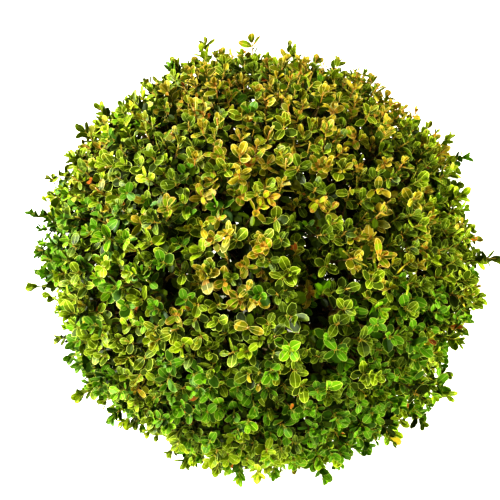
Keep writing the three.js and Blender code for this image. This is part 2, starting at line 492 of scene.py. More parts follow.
# %% [markdown]
# ## Stem and boughs
# The CAD solids have the right taper, lean and flare but smooth sides. A copy of
# each is remeshed finely, and its skin is pushed in and out along stretched noise,
# which gives ridges that run up the limb.

# %% Stem and boughs
BOUGHS = sorted(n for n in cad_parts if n.startswith("bough"))
GRAIN_PULL = 0.8  # the noise is squeezed by this along the limb, so ridges run five long
GRIP_HEIGHT = 4 * MM  # a limb's lowest stretch, over which the relief fades in


def barked_copy(node, name, voxel_mm, relief_mm, ridge_mm, material):
    """A finely meshed copy of a CAD limb with the bark's ridges on it."""
    bpy.ops.object.select_all(action="DESELECT")
    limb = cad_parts[node].copy()
    limb.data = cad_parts[node].data.copy()
    limb.name = name
    limb.parent = None
    bpy.context.collection.objects.link(limb)
    limb.select_set(True)
    bpy.context.view_layer.objects.active = limb
    limb.data.materials.clear()
    bpy.ops.object.mode_set(mode="EDIT")
    bpy.ops.mesh.select_all(action="SELECT")
    bpy.ops.mesh.remove_doubles(threshold=1e-6)
    bpy.ops.object.mode_set(mode="OBJECT")
    remesh = limb.modifiers.new("remesh", "REMESH")
    remesh.mode = "VOXEL"
    remesh.voxel_size = voxel_mm * MM
    bpy.ops.object.modifier_apply(modifier="remesh")
    smooth = limb.modifiers.new("smooth", "SMOOTH")
    smooth.iterations = 3
    bpy.ops.object.modifier_apply(modifier="smooth")
    low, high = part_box(node)
    run = (high - low).normalized()
    base = low.z
    for vertex in limb.data.vertices:
        squeezed = vertex.co - run * (GRAIN_PULL * vertex.co.dot(run))
        ridge = noise.turbulence(squeezed / (ridge_mm * MM), 3, False)
        grip = min(1.0, max(0.0, (vertex.co.z - base) / GRIP_HEIGHT))
        vertex.co += vertex.normal * ((ridge - 0.5) * relief_mm * MM * grip)
    limb.data.materials.append(material)
    bpy.ops.object.shade_smooth()
    return limb


stem = barked_copy("stem", "stem_wood", 1.3, 1.6, 5.0, stem_bark)
bough_parts = [barked_copy(n, n + "_wood", 1.5, 0.7, 3.0, bough_bark) for n in BOUGHS]
bpy.ops.object.select_all(action="DESELECT")
for part in bough_parts:
    part.select_set(True)
bpy.context.view_layer.objects.active = bough_parts[0]
bpy.ops.object.join()
boughs = bpy.context.object
boughs.name = "bough_wood"
print("stem", len(stem.data.polygons), "boughs", len(boughs.data.polygons), "faces")

# %% [markdown]
# ## Reading the clipped face
# The foliage solid says where the shears went. Rays sent in towards the ball's
# centre measure how far out the face lies in every direction. Where it stands well
# out of its surroundings, a stray shoot has grown past the cut.

# %% Clipped face
rng = np.random.default_rng(2406)
CENTRE = np.array(BALL_CENTRE)
foliage_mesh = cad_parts["foliage_ball"].data
foliage_tree = BVHTree.FromPolygons(
    [v.co for v in foliage_mesh.vertices], [p.vertices[:] for p in foliage_mesh.polygons]
)
FACE_SAMPLES = 9000
LEAST_REACH = 0.19  # nearer than this a ray has gone in through the open underside
print(len(foliage_mesh.polygons), "triangles on the clipped face,", FACE_SAMPLES, "rays")


def unit(v):
    """Vectors at length one."""
    return v / np.maximum(np.linalg.norm(v, axis=-1, keepdims=True), 1e-12)


def spread_headings(count, jitter):
    """Unit vectors spread evenly over the sphere, then shaken a little."""
    step = np.arange(count) + 0.5
    z = 1 - 2 * step / count
    turn = step * math.pi * (3 - math.sqrt(5))
    level = np.sqrt(1 - z * z)
    even = np.stack([level * np.cos(turn), level * np.sin(turn), z], 1)
    spacing = math.sqrt(4 * math.pi / count)
    return unit(even + rng.normal(scale=jitter * spacing, size=even.shape))


def reach_along(headings):
    """How far out the clipped face lies along each heading, or 0 for none."""
    far = 0.6
    reach = np.zeros(len(headings))
    for i, heading in enumerate(headings):
        start = BALL_CENTRE + Vector(heading) * far
        hit = foliage_tree.ray_cast(start, -Vector(heading))
        if hit[0] is not None and far - hit[3] > LEAST_REACH:
            reach[i] = far - hit[3]
    return reach


# %% Uneven shears
# how far round the outline, in degrees from its right side over its top, and how many
# millimetres the shears left on or took off there
CLIPPING = [
    (7, -6), (22, -11), (37, 3), (111, 8), (127, -6), (200, -4),
    (228, -6), (246, -5), (291, 5), (337, -16), (292, 3),
]
CLIPPING_SPREAD = 8  # degrees
OVERALL_TRIM = 1.2 * MM


def uneven_clipping(headings):
    """Where the shears cut deeper or shallower than they should round the outline."""
    right, up = headings @ np.array(VIEW_RIGHT), headings @ np.array(VIEW_UP)
    turn = np.degrees(np.arctan2(up, right))
    near_outline = np.hypot(right, up).clip(0, 1) ** 3
    extra = np.zeros(len(headings))
    for middle, mm in CLIPPING:
        off = np.abs((turn - middle + 180) % 360 - 180)
        extra += mm * MM * np.exp(-((off / CLIPPING_SPREAD) ** 2))
    return extra * near_outline - OVERALL_TRIM


face_headings = spread_headings(FACE_SAMPLES, 0.0)
face_reach = reach_along(face_headings)
face_reach = np.where(face_reach > 0, face_reach + uneven_clipping(face_headings), 0)
print("face reaches", (face_reach[face_reach > 0].min() / MM).round(), "mm and more")

# %% Stray shoots
WIDE_LOOK = 0.085  # radians round a heading
CLOSE_LOOK = 0.06
LEAST_EXCESS = 5.5 * MM
STRAY_SPACING = 0.10  # radians
face_finder = kdtree.KDTree(FACE_SAMPLES)
for i, heading in enumerate(face_headings):
    face_finder.insert(heading, i)
face_finder.balance()


def typical_reach(heading, spread=WIDE_LOOK):
    """The face's reach near a heading, with no notice of single stray shoots."""
    near = [face_reach[i] for _, i, _ in face_finder.find_range(heading, spread)]
    near = [r for r in near if r > 0]
    return float(np.median(near)) if len(near) > 3 else 0.0


def reaches(headings, spread=WIDE_LOOK):
    """The face's typical reach along each heading."""
    return np.array([typical_reach(h, spread) for h in headings])


smooth_reach = reaches(face_headings)
excess = np.where(smooth_reach > 0, face_reach - smooth_reach, 0)
strays = []
for i in np.argsort(-excess):
    if excess[i] < LEAST_EXCESS:
        break
    if all(face_headings[i] @ face_headings[k] < math.cos(STRAY_SPACING) for k in strays):
        strays.append(i)
print("stray shoots", len(strays), "longest", round(excess.max() / MM, 1), "mm")

# %% [markdown]
# ## The growth rule
# Growth goes in four orders: boughs carry on from the CAD limbs, branches leave the
# boughs, twigs leave the branches, and leafy shoots leave the twigs. Each new limb
# starts from the nearest older wood, sets off in the direction that wood grows, and
# bends towards its own patch of the clipped face. A seeded random generator shakes
# every choice, so the shrub is irregular but always the same.

# %% Growth rule
UP = np.array([0.0, 0.0, 1.0])


class Wood:
    """A growing skeleton: points, each with the point it grew from."""

    def __init__(self):
        self.points = []
        self.parents = []
        self.growth = []

    def grow(self, parent, line, direction_start):
        """Adds a line of points and returns their numbers."""
        numbers = []
        last = parent
        for k, point in enumerate(line):
            before = line[k - 1] if k else None
            ahead = point - before if k else direction_start
            self.points.append(point)
            self.parents.append(last)
            self.growth.append(unit(ahead))
            last = len(self.points) - 1
            numbers.append(last)
        return numbers


wood = Wood()


def arc_line(start, direction, end, count, pull, shake):
    """A curve that leaves start along direction and arrives at end."""
    length = np.linalg.norm(end - start)
    bend = start + direction * length * pull
    share = np.linspace(0, 1, count + 1)[1:, None]
    line = (1 - share) ** 2 * start + 2 * share * (1 - share) * bend + share**2 * end
    wobble = rng.normal(scale=shake * length, size=line.shape) * np.sin(share * math.pi)
    return line + wobble


# %% Boughs carried on
FORK = np.array([0.005, -0.003, 0.08])  # the middle of the stem's fork
END_RING = 7 * MM
BEFORE_RING = (30 * MM, 18 * MM)  # the stretch that shows which way the end points
HEAD_RADIUS = 0.115  # how far from the ball's centre the boughs end
BOUGH_POINTS = 9
# how far each kind of bough heads outwards and upwards
HEAD_RISE = {"bough_leader": (0.2, 1.0), "bough_upper": (1.0, 0.62), "bough_lower": (1.0, -0.12)}


def limb_end(node):
    """Where a CAD bough ends and which way it points there."""
    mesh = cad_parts[node].data
    points = np.array([v.co for v in mesh.vertices])
    away = np.linalg.norm(points - FORK, axis=1)
    far = away.max()
    last = points[away > far - END_RING].mean(0)
    before = points[(away > far - BEFORE_RING[0]) & (away < far - BEFORE_RING[1])].mean(0)
    return last, unit(last - before)


bough_lines = []
for node in BOUGHS:
    start, direction = limb_end(node)
    rise = next(v for k, v in HEAD_RISE.items() if node.startswith(k))
    level = unit(np.array([direction[0], direction[1], 0.0]))
    heading = unit(level * rise[0] + UP * rise[1])
    head = CENTRE + heading * HEAD_RADIUS
    line = arc_line(start, direction, head, BOUGH_POINTS, 0.5, 0.012)
    line = np.vstack([start[None], line])
    bough_lines.append(wood.grow(-1, line, direction))
print(len(bough_lines), "boughs carried on")

# %% Branches and twigs grow
BRANCH_COUNT = 76
BRANCH_DEPTH = 92 * MM  # under the clipped face
TWIG_COUNT = 400
TWIG_DEPTH = 52 * MM


def finder_of(numbers):
    """A search tree over some of the wood's points."""
    tree = kdtree.KDTree(len(numbers))
    for n in numbers:
        tree.insert(wood.points[n], n)
    tree.balance()
    return tree


def grow_order(ends, older, count, pull, shake, upward):
    """Grows one limb to each end from the nearest older wood."""
    tree = finder_of(older)
    lines = []
    for end in ends:
        choices = tree.find_n(end - UP * upward, 5)
        pick = choices[min(int(rng.exponential(0.7)), len(choices) - 1)][1]
        start = wood.points[pick]
        direction = unit(wood.growth[pick] + 0.8 * unit(end - start))
        line = arc_line(start, direction, end, count, pull, shake)
        lines.append([pick] + wood.grow(pick, line, direction))
    return lines


def ends_at(count, jitter, depth, depth_shake):
    """Even points at a depth under the clipped face, none over the bowl."""
    headings = spread_headings(count, jitter)
    reach = reaches(headings)
    kept = reach > 0
    headings, reach = headings[kept], reach[kept]
    reach = reach - depth - rng.uniform(-depth_shake, depth_shake, len(reach))
    return CENTRE + headings * reach[:, None]


branch_ends = ends_at(BRANCH_COUNT, 0.15, BRANCH_DEPTH, 10 * MM)
branch_lines = grow_order(
    branch_ends, [n for line in bough_lines for n in line[1:]], 7, 0.45, 0.02, 0.03
)
twig_ends = ends_at(TWIG_COUNT, 0.2, TWIG_DEPTH, 8 * MM)
twig_lines = grow_order(twig_ends, [n for line in branch_lines for n in line[3:]], 6, 0.4, 0.03, 0.012)
print(len(branch_lines), "branches,", len(twig_lines), "twigs")

# %% [markdown]
# ### Shoots
# A leafy shoot is a finger long. It points out from the ball and turns up towards
# the light. Most end just under the clipped face, so that their leaf tips make the
# face. Some end deeper or fill the shade behind, and proud and stray shoots stand
# out. Here and there the face has a gap, a window into the dark inside, and the
# shoots there stand further back.

# %% Kinds of shoot
FACE_KIND, DEEP_KIND, PROUD_KIND, SHADE_KIND = range(4)
FACE_SHOOTS = 2750
DEEP_SHOOTS = 650
SHADE_SHOOTS = 950
PROUD_SHOOTS = 230
LIGHT_PULL = 0.58
LEAF_LENGTH = 12.4 * MM
GROUND_GAP = 4 * MM  # nothing green comes nearer to the ground


def patches(points, size, seed):
    """Slow random patches over the ball, from about -1 to 1."""
    shift = Vector((seed * 7.3, seed * 1.7, seed * 3.1))
    return np.array([noise.noise(Vector(p) / size + shift) for p in points])


def growth_direction(headings, pull, shake):
    """Outwards, with a turn up that is strongest on the lower flanks."""
    rise = pull * np.clip(1.35 - 0.6 * headings[:, 2:3], 0.75, 1.7)
    return unit(headings + rise * UP + rng.normal(scale=shake, size=headings.shape))


def shoot_set(kind, headings, reach, depth, length_mm, pull, shake):
    """Shoots of one kind, whose tips end at a depth under the clipped face."""
    length = rng.uniform(*length_mm, len(headings)) * MM
    tips = CENTRE + headings * (reach - depth)[:, None]
    kept = (reach > 0) & (tips[:, 2] > GROUND_GAP)
    headings, tips, length = headings[kept], tips[kept], length[kept]
    growth = growth_direction(headings, pull, shake)
    return {
        "kind": np.full(len(tips), kind),
        "heading": headings,
        "tip": tips,
        "growth": growth,
        "length": length,
    }


face = spread_headings(FACE_SHOOTS, 0.22)
hollows = patches(face, 0.154, 497)
face_depth = 5.0 + 15 * hollows.clip(0, 1) + rng.normal(0, 5.6, FACE_SHOOTS)
face_depth = face_depth.clip(-10, 24)  # mm
print("hollows reach", round(float(face_depth.max()), 1), "mm in")

# %% Windows
BALL_RADIUS_MM = 235
BALL_RADIUS = BALL_RADIUS_MM / 1000
# how far right and up of the middle of the view each stands, and its radius, in mm
WINDOWS = [
    (42, 58, 9), (38, 36, 9), (36, 16, 10), (45, 0, 9), (51, -16, 10),
    (49, -33, 10), (46, -50, 10), (30, -55, 9), (-16, 44, 9), (-15, 26, 7),
    (-33, 108, 11), (52, 82, 11), (76, 56, 12), (88, 48, 8), (-72, -26, 10),
    (4, -24, 9), (92, -26, 8), (60, -100, 9), (-8, 68, 7), (116, 26, 8),
]
FACE_SET_BACK = 34  # mm further back in a window
DEEP_IN_WINDOW = 50  # mm under the face


def in_window(headings, swell=1.0):
    """Which headings look into one of the windows."""
    found = np.zeros(len(headings), bool)
    for right, up, wide in WINDOWS:
        flat = (np.array(VIEW_RIGHT) * right + np.array(VIEW_UP) * up) * MM
        middle = unit(flat + np.array(TO_CAMERA) * math.sqrt(BALL_RADIUS**2 - flat @ flat))
        found |= np.linalg.norm(headings - middle, axis=1) * BALL_RADIUS_MM < wide * swell
    return found


face_set_back = in_window(face, 1.3)
face_depth = np.where(face_set_back, face_depth + FACE_SET_BACK, face_depth) * MM
print(len(WINDOWS), "windows,", face_set_back.sum(), "shoots set back")

# %% Shoot sets
STRAY_DEPTH = 7 * MM  # a stray's wood ends this far short, and leaves make the rest
shade = spread_headings(SHADE_SHOOTS, 0.35)
proud = spread_headings(PROUD_SHOOTS, 0.5)
deep = spread_headings(DEEP_SHOOTS, 0.35)
deep_depth = rng.uniform(18, 44, DEEP_SHOOTS)
deep_depth = np.where(in_window(deep, 1.2), DEEP_IN_WINDOW, deep_depth) * MM
sets = []
sets.append(
    shoot_set(FACE_KIND, face, reaches(face, CLOSE_LOOK), face_depth, (30, 40), LIGHT_PULL, 0.30)
)
sets.append(shoot_set(DEEP_KIND, deep, reaches(deep), deep_depth, (22, 30), LIGHT_PULL, 0.35))
shade_depth = rng.uniform(44, 104, SHADE_SHOOTS) * MM
sets.append(shoot_set(SHADE_KIND, shade, reaches(shade), shade_depth, (20, 28), 0.3, 0.6))
proud_depth = rng.uniform(-17, -1, PROUD_SHOOTS) * MM
proud_reach = reaches(proud, CLOSE_LOOK)
sets.append(shoot_set(PROUD_KIND, proud, proud_reach, proud_depth, (38, 46), 0.3, 0.15))
stray_depth = np.full(len(strays), STRAY_DEPTH)
stray_headings = face_headings[strays]
sets.append(shoot_set(PROUD_KIND, stray_headings, face_reach[strays], stray_depth, (42, 50), 0.2, 0.05))
shoots = {k: np.concatenate([one[k] for one in sets]) for k in sets[0]}
SHOOT_COUNT = len(shoots["tip"])
print("shoots of each kind", np.bincount(shoots["kind"]))

# %% Shoot curves
SHOOT_POINTS = 5
TIP_STRAIGHT = 0.75  # of its length, in which a shoot takes its own direction
base = shoots["tip"] - shoots["growth"] * shoots["length"][:, None]
twig_tree = finder_of([n for line in twig_lines for n in line[2:]])
shoot_lines = np.zeros((SHOOT_COUNT, SHOOT_POINTS, 3))
shoot_from = np.zeros(SHOOT_COUNT, int)
for i in range(SHOOT_COUNT):
    pick = twig_tree.find(base[i] - shoots["heading"][i] * 12 * MM)[1]
    shoot_from[i] = pick
    start = wood.points[pick]
    share = np.linspace(0, 1, SHOOT_POINTS)[:, None]
    length = shoots["length"][i]
    bend = shoots["tip"][i] - shoots["growth"][i] * (TIP_STRAIGHT * length)
    shoot_lines[i] = (
        (1 - share) ** 2 * start + 2 * share * (1 - share) * bend + share**2 * shoots["tip"][i]
    )
print(SHOOT_COUNT, "shoots")

# %% [markdown]
# ### Thickness
# A limb is as thick as the shoots it feeds need. The count of shoots is added up
# from the tips to the stem, and a power of the count gives the radius, matched to
# the CAD boughs at their ends.

# %% Thickness
load = np.zeros(len(wood.points))
np.add.at(load, shoot_from, 1)
for n in range(len(wood.points) - 1, -1, -1):
    if wood.parents[n] >= 0:
        load[wood.parents[n]] += load[n]
wood_points = np.array(wood.points)
TIP_RADIUS = 0.85 * MM
LOAD_POWER = 0.31
radius = TIP_RADIUS * np.maximum(load, 1) ** LOAD_POWER
print("bough ends", (radius[[line[0] for line in bough_lines]] / MM).round(1), "mm")

# %% [markdown]
# ### Tubes and joined meshes
# Thousands of twigs and leaves would be slow as separate objects. Every piece is one
# mesh, filled from arrays: the points of each copy, and the same few triangles
# counted on from copy to copy.

# %% Tubes


def square_to(directions):
    """For each direction, one at right angles to it."""
    helper = np.where(np.abs(directions[:, 2:3]) > 0.9, [[1.0, 0, 0]], [[0, 0, 1.0]])
    return unit(np.cross(directions, helper))


def tube_triangles(steps, sides):
    """A tube's triangles: its walls from foot to tip, then the foot's cap and the tip's."""
    a, k = np.meshgrid(np.arange(steps - 1), np.arange(sides), indexing="ij")
    nxt = (k + 1) % sides
    low, low2 = a * sides + k, a * sides + nxt
    high, high2 = low + sides, low2 + sides
    walls = np.stack([low, low2, high2, low, high2, high], -1).reshape(-1, 3)
    k = np.arange(sides)
    nxt = (k + 1) % sides
    foot = np.stack([nxt, k, np.full(sides, steps * sides)], -1)
    top = (steps - 1) * sides
    tip = np.stack([top + k, top + nxt, np.full(sides, steps * sides + 1)], -1)
    return np.concatenate([walls, foot, tip])


def limb_mesh(
    name, lines, radii, sides, materials, finishes=None, ridged=False, old_steps=0, ends=None
):
    """Tapering tubes along many lines of the same number of points, as one mesh.

    The first old_steps of each tube have the first material, and ends, where given,
    holds the material of each tip.
    """
    lines, radii = np.asarray(lines), np.asarray(radii)
    count, steps, _ = lines.shape
    tangent = unit(np.gradient(lines, axis=1))
    overall = unit(lines[:, -1] - lines[:, 0])
    first = square_to(overall)[:, None, :]
    normal = unit(first - (first * tangent).sum(-1, keepdims=True) * tangent)
    side = np.cross(tangent, normal)
    angle = np.arange(sides) * 2 * math.pi / sides
    ring = (
        normal[:, :, None] * np.cos(angle)[None, None, :, None]
        + side[:, :, None] * np.sin(angle)[None, None, :, None]
    )
    swell = np.ones((count, steps, sides, 1))
    if ridged:
        swell += rng.normal(scale=0.06, size=swell.shape)
    points = lines[:, :, None] + ring * (radii[:, :, None, None] * swell)
    points = points.reshape(count, steps * sides, 3)
    caps = np.stack([lines[:, 0], lines[:, -1] + tangent[:, -1] * radii[:, -1:] * 0.5], 1)
    points = np.concatenate([points, caps], 1)
    triangles = tube_triangles(steps, sides)
    finish = np.zeros(count, int) if finishes is None else np.asarray(finishes)
    finish = np.repeat(finish[:, None], len(triangles), 1)
    finish[:, : old_steps * sides * 2] = OLD_BARK
    if ends is not None:
        finish[:, -sides:] = ends[:, None]
    return array_mesh(name, [(points, triangles, finish.ravel())], materials)


# %% Joined meshes


def array_mesh(name, groups, materials):
    """One mesh from groups of copies: points of each copy, shared triangles, finishes."""
    all_points, all_triangles, all_finishes = [], [], []
    offset = 0
    for points, triangles, finishes in groups:
        count, size, _ = points.shape
        shift = offset + np.arange(count)[:, None, None] * size
        all_points.append(points.reshape(-1, 3))
        all_triangles.append((triangles[None] + shift).reshape(-1, 3))
        all_finishes.append(finishes)
        offset += count * size
    points = np.concatenate(all_points).astype(np.float32)
    triangles = np.concatenate(all_triangles).astype(np.int32)
    finishes = np.concatenate(all_finishes)
    used = np.unique(finishes)
    mesh = bpy.data.meshes.new(name)
    mesh.vertices.add(len(points))
    mesh.vertices.foreach_set("co", points.ravel())
    mesh.loops.add(triangles.size)
    mesh.loops.foreach_set("vertex_index", triangles.ravel())
    mesh.polygons.add(len(triangles))
    mesh.polygons.foreach_set("loop_start", np.arange(0, triangles.size, 3, dtype=np.int32))
    for number in used:
        mesh.materials.append(materials[number])
    mesh.polygons.foreach_set("material_index", np.searchsorted(used, finishes).astype(np.int32))
    mesh.polygons.foreach_set("use_smooth", np.ones(len(triangles), bool))
    mesh.update(calc_edges=True)
    mesh.validate()
    piece = bpy.data.objects.new(name, mesh)
    bpy.context.collection.objects.link(piece)
    print(name, len(triangles), "triangles")
    return piece


# %% Branches and twigs
JOINT_SWELL = 1.08  # a limb's foot over its next point


def order_lines(lines):
    """The points of each line of wood."""
    return wood_points[np.array(lines)]


def order_radii(lines):
    """Each limb keeps its own radius where it joins the thicker wood."""
    numbers = np.array(lines)
    radii = radius[numbers]
    radii[:, 0] = radii[:, 1] * JOINT_SWELL
    return radii


bough_radii = radius[np.array(bough_lines)]
bough_tops = limb_mesh(
    "bough_tops", order_lines(bough_lines), bough_radii, 12, [branch_bark], ridged=True
)
branches = limb_mesh(
    "branches", order_lines(branch_lines), order_radii(branch_lines), 8, [branch_bark], ridged=True
)
twigs = limb_mesh("twigs", order_lines(twig_lines), order_radii(twig_lines), 6, [twig_bark])

# %% [markdown]
# ### Leaves on the shoots
# Box leaves stand in opposite pairs, each pair turned a quarter from the next. The
# pair at the tip is young, small, upright and pale, and each pair below it is
# larger, wider spread and darker. Shears often take the tip off, and then the shoot
# ends in a cut stub between two full leaves.

# %% Leaf pairs
# from the tip down: the gap above each pair, the size of its leaves, and their spread
PAIR_GAPS = np.array([0.3, 3.3, 4.3, 5.0, 5.6, 6.0, 6.2]).cumsum() * MM
PAIR_SIZE = np.array([0.48, 0.78, 0.98, 0.96, 0.94, 0.92, 0.9])
PAIR_PITCH = np.radians([20, 42, 56, 64, 70, 76, 80])
PAIRS = len(PAIR_GAPS)
CUT_SHARE = 0.42  # of the shoots have lost their tip to the shears
SHADE_LEAF = 1.3  # leaves in the shade are larger
kind = shoots["kind"]
cut = (rng.random(SHOOT_COUNT) < CUT_SHARE) & (kind != PROUD_KIND)
shoot_size = rng.normal(1.0, 0.14, SHOOT_COUNT).clip(0.7, 1.28)
shoot_size[kind == SHADE_KIND] *= SHADE_LEAF
shoot_turn = rng.uniform(0, math.pi, SHOOT_COUNT)
print(cut.sum(), "shoots have lost their tip")

# %% [markdown]
# ### Tints
# Box goes gold to orange where sun and drought reach it, and stays green in the
# shade. So each spray gets two numbers: how dry it is, which follows the sunny side
# of the ball, and how lively its growth is. Slow noise, chance and a few broad
# patches vary both. How lively a spray looks also carries painted light and shade:
# sprays are brighter on the left of the view, where the key lamp shines, and duller
# in its middle and on its right, and some broad patches brighten or dull the outline.
# Together they choose one of eleven families of leaf colours.

# %% Dry and lively sprays
sun = unit(np.array(VIEW_UP * 0.76 + VIEW_RIGHT * -0.03 + TO_CAMERA * 0.52))
sun_side = shoots["heading"] @ sun
dry_patches = patches(shoots["tip"], 0.09, 479) * 1.6
lively_patches = patches(shoots["tip"], 0.06, 486) * 1.6
dryness = 0.86 * np.clip(sun_side, -0.8, 1) - 0.30 + 0.5 * dry_patches
dryness += rng.normal(0, 0.42, SHOOT_COUNT)
vigour_and_painted_light = 0.5 * lively_patches + rng.normal(0, 0.5, SHOOT_COUNT)
# sprays facing this way are duller and darker and those facing away brighter: painted shade on the
# middle and right of the view, painted light on its left, where the key lamp shines
painted_shade_side = np.array(VIEW_UP * 0.15 + VIEW_RIGHT * 0.34 + TO_CAMERA * 0.55)
vigour_and_painted_light += 0.2 - shoots["heading"] @ painted_shade_side

# broad patches of other growth, several of them also painted light and shade: brighter,
# more lively sprays where the outline stands in stronger light, and duller ones where it
# lies in shade. Each gives how far right and up of the middle of the view and how wide,
# as shares of the ball's radius, how much drier, and how much more lively
GROWTH_AND_LIGHT_PATCHES = [
    (-0.13, -0.03, 0.22, -0.45, -0.90),
    (0.40, 0.34, 0.24, -0.55, -1.00),
    (0.15, 0.52, 0.20, 0.80, 0.20),
    (-0.09, 0.62, 0.34, -0.10, -1.10),
    (-0.52, -0.10, 0.22, -0.05, 0.80),
    (-0.45, -0.62, 0.28, 0.0, -0.40),
    (0.50, -0.48, 0.28, -0.30, -0.50),
    (-0.92, -0.08, 0.30, -0.90, -0.60),
    (0.20, -0.93, 0.26, 0.0, 0.90),
    (0.92, 0.28, 0.30, 0.10, 0.60),
]
for right, up, width, drier, livelier_and_lit in GROWTH_AND_LIGHT_PATCHES:
    level = np.array(VIEW_RIGHT * right + VIEW_UP * up)
    middle = level + np.array(TO_CAMERA) * math.sqrt(1 - level @ level)
    share = np.exp(-((shoots["heading"] - middle) ** 2).sum(1) / width**2)
    dryness += drier * share
    vigour_and_painted_light += livelier_and_lit * share
print("dryness", dryness.mean().round(2), "vigour_and_painted_light", vigour_and_painted_light.mean().round(2), "on average")

# %% Spray families
# a spray's family: the blade finishes of its pairs from the tip down, with the lowest
# pairs deep, then the finish of its leaf tips, and that of its rims and midribs
FAMILIES = {
    "deep": ("mid shade shade", "mid", "rim_dark"),
    "mid": ("fresh mid mid shade", "fresh", "rim_lime"),
    "fresh": ("bright fresh fresh mid shade", "bright", "rim_lime"),
    "lime": ("lime bright bright fresh mid shade", "lime", "rim_pale"),
    "leafy": ("spring leafy leafy forest forest", "leafy", "rim_dark"),
    "spring": ("bright spring spring leafy forest", "spring", "rim_lime"),
    "olive": ("khaki olive mid shade", "olive", "rim_lime"),
    "tinged": ("gold mid fresh olive shade", "khaki", "rim_gold"),
    "khaki": ("yellow khaki olive olive shade", "yellow", "rim_pale"),
    "yellow": ("gold lime khaki olive mid shade", "yellow", "rim_gold"),
    "gold": ("gold yellow lime khaki olive shade", "gold", "rim_gold"),
}
FAMILY_NAMES = list(FAMILIES)
blade_lists = [(blades.split() + ["deep"] * PAIRS)[:PAIRS] for blades, _, _ in FAMILIES.values()]
family_blades = np.array([[BLADE_NAMES.index(b) for b in blades] for blades in blade_lists])
family_tips = np.array([BLADE_NAMES.index(tip) for _, tip, _ in FAMILIES.values()])
family_rims = np.array([len(BLADES) + RIM_NAMES.index(rim) for _, _, rim in FAMILIES.values()])
# finishes that darken towards a leaf's heel, each to the one after it
DARKENING = (
    "lime bright fresh mid shade deep",
    "spring leafy forest deep",
    "yellow khaki olive shade",
    "orange gold khaki",
)
DARKER = {}
for names in DARKENING:
    DARKER.update(zip(names.split(), names.split()[1:]))
darker = np.array([BLADE_NAMES.index(DARKER.get(name, name)) for name in BLADE_NAMES])
family = np.full(SHOOT_COUNT, FAMILY_NAMES.index("mid"))
for name, chosen in (
    ("deep", vigour_and_painted_light < -0.35),
    ("fresh", vigour_and_painted_light > 0.25),
    ("lime", vigour_and_painted_light > 0.85),
    ("leafy", (dryness < -0.48) & (vigour_and_painted_light < 0.3)),
    ("spring", (dryness < -0.48) & (vigour_and_painted_light >= 0.3)),
    ("olive", (dryness > 0.30) & (vigour_and_painted_light < 0.4)),
    ("tinged", (dryness > 0.50) & (vigour_and_painted_light < 0.2)),
    ("khaki", (dryness > 0.72) & (vigour_and_painted_light < 0.5)),
    ("yellow", (dryness > 0.95) & (vigour_and_painted_light > -0.2)),
    ("gold", dryness > 1.35),
):
    family[chosen] = FAMILY_NAMES.index(name)
print("sprays:", dict(zip(FAMILY_NAMES, np.bincount(family, minlength=len(FAMILY_NAMES)))))

# %% Places along a shoot
steps = np.linalg.norm(np.diff(shoot_lines, axis=1), axis=2)
from_tip = np.concatenate([np.cumsum(steps[:, ::-1], 1)[:, ::-1], np.zeros((SHOOT_COUNT, 1))], 1)
print("shoots", (from_tip[:, 0].mean() / MM).round(), "mm long on average")


def point_on_shoot(distance):
    """The point and growth direction on every shoot at a distance from its tip."""
    points = np.zeros((SHOOT_COUNT, 3))
    ahead = np.zeros((SHOOT_COUNT, 3))
    for i in range(SHOOT_COUNT):
        k = int(np.searchsorted(-from_tip[i], -distance[i]))
        k = min(max(k, 1), SHOOT_POINTS - 1)
        span = from_tip[i, k - 1] - from_tip[i, k]
        share = (from_tip[i, k - 1] - distance[i]) / max(span, 1e-9)
        a, b = shoot_lines[i, k - 1], shoot_lines[i, k]
        points[i] = a + (b - a) * min(max(share, 0), 1)
        ahead[i] = b - a
    return points, unit(ahead)


# %% [markdown]
# ### The list of leaves
# Every leaf is a row: where its stalk stands, the directions along, across and out
# of its blade, its size, width, form and finish. The pairs are walked from the tip
# down, all shoots at once, and leaves that are missing or would touch the ground are
# left out.

# %% Leaf measures
PROUD_UPRIGHT = 0.72  # leaves on proud shoots hug the stem more and stand closer
PROUD_CLOSE = 0.78
DRY_NARROWER = 0.12
LEAST_LEAF = 4 * MM
LONGEST_LEAF = 15.5 * MM
STALK_OUT = 0.4 * MM  # leaves start this far from the middle of the shoot
YELLOWED, ORANGED, RUSSETED = 0.02, 0.023, 0.024  # running shares of odd leaves
YOUNG_FORMS = [0.12, 0.1, 0.38, 0.34, 0.06]  # shares, in the order of FORMS
OLD_FORMS = [0.32, 0.24, 0.12, 0.16, 0.16]
print("leaves", LEAST_LEAF / MM, "to", LONGEST_LEAF / MM, "mm long")


# %% Which leaves there are, and their tints


def turned(a, b, angle):
    """Vectors turned from a towards b by an angle."""
    return a * np.cos(angle)[:, None] + b * np.sin(angle)[:, None]


def grown(pair):
    """Which shoots have this leaf of this pair."""
    present = np.ones(SHOOT_COUNT, bool)
    if pair == 0:
        present &= ~cut
    if pair == 1:
        present &= ~(cut & (rng.random(SHOOT_COUNT) < 0.35))
    if pair >= 4:
        present &= kind != DEEP_KIND
    if pair >= 6:
        present &= kind == PROUD_KIND
    if pair == 0 or pair >= 4:
        present &= kind != SHADE_KIND
    return present & (rng.random(SHOOT_COUNT) > (0.03 if pair < 3 else 0.10))


def tinted(pair):
    """The blade finish of this leaf on each shoot, with a few odd ones."""
    blade = family_blades[family, pair].copy()
    odd = rng.random(SHOOT_COUNT)
    turning = (odd < YELLOWED) & (dryness > 0) & (pair < 3)
    blade[turning] = BLADE_NAMES.index("yellow")
    blade[(odd > YELLOWED) & (odd < ORANGED)] = BLADE_NAMES.index("orange")
    blade[(odd > ORANGED) & (odd < RUSSETED)] = BLADE_NAMES.index("russet")
    # shade shoots take the darkest finish: partly their own darker green, partly painted shade
    blade[kind == SHADE_KIND] = BLADE_NAMES.index("inner")
    return blade


